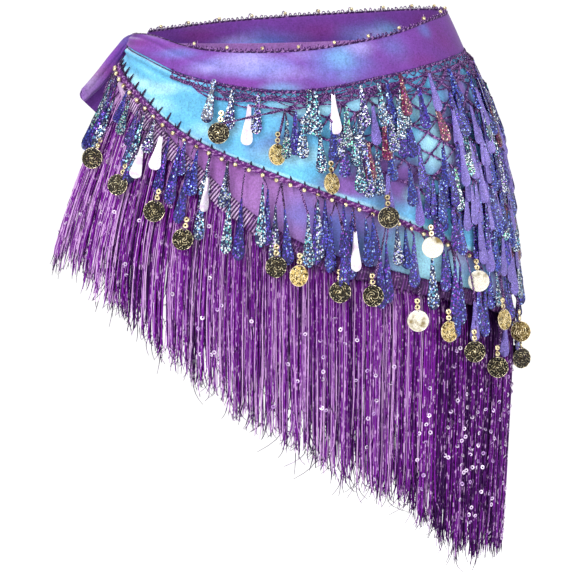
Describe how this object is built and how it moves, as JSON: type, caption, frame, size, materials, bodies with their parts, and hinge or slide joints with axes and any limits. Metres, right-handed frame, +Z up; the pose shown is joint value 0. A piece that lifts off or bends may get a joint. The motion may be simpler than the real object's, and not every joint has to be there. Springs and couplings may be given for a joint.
{
  "type": "belly dance hip scarf",
  "caption": "Triangular hip scarf tied at one side, with a folded waistband, overlapping panels, crochet net, hanging teardrop spangles and coins, and a long fringe.",
  "frame": {"origin": "middle of the ring that the waistband makes where it rests on the wearer's hips", "axes": "+Z up, the front faces -Y, +X is the wearer's left, where the scarf's point hangs"},
  "size_m": [0.4403, 0.276, 0.5232],
  "materials": {
    "waistband": "soft velvet, tie-dyed",
    "waist_edging": "matte crochet",
    "upper_panel": "soft velvet, tie-dyed",
    "lower_panel": "soft velvet, tie-dyed",
    "net_front": "matte crochet",
    "net_back": "matte crochet",
    "fringe_front": "shiny rayon threads",
    "fringe_back": "shiny rayon threads",
    "band_drops": "glossy, spangled",
    "high_net_drops": "glossy, spangled",
    "low_net_drops": "glossy, spangled",
    "upper_hem_drops": "glossy, spangled",
    "lower_hem_drops": "glossy, spangled",
    "knot": "soft velvet, tie-dyed",
    "front_tail": "soft velvet, tie-dyed",
    "back_tail": "soft velvet, tie-dyed"
  },
  "bodies": {
    "root": {"waistband": "waistband", "waist_edging": "waist_edging", "upper_panel": "upper_panel", "lower_panel": "lower_panel", "net_front": "net_front", "net_back": "net_back", "fringe_front": "fringe_front", "fringe_back": "fringe_back", "band_drops": "band_drops", "high_net_drops": "high_net_drops", "low_net_drops": "low_net_drops", "upper_hem_drops": "upper_hem_drops", "lower_hem_drops": "lower_hem_drops", "knot": "knot", "front_tail": "front_tail", "back_tail": "back_tail"}
  },
  "joints": []
}
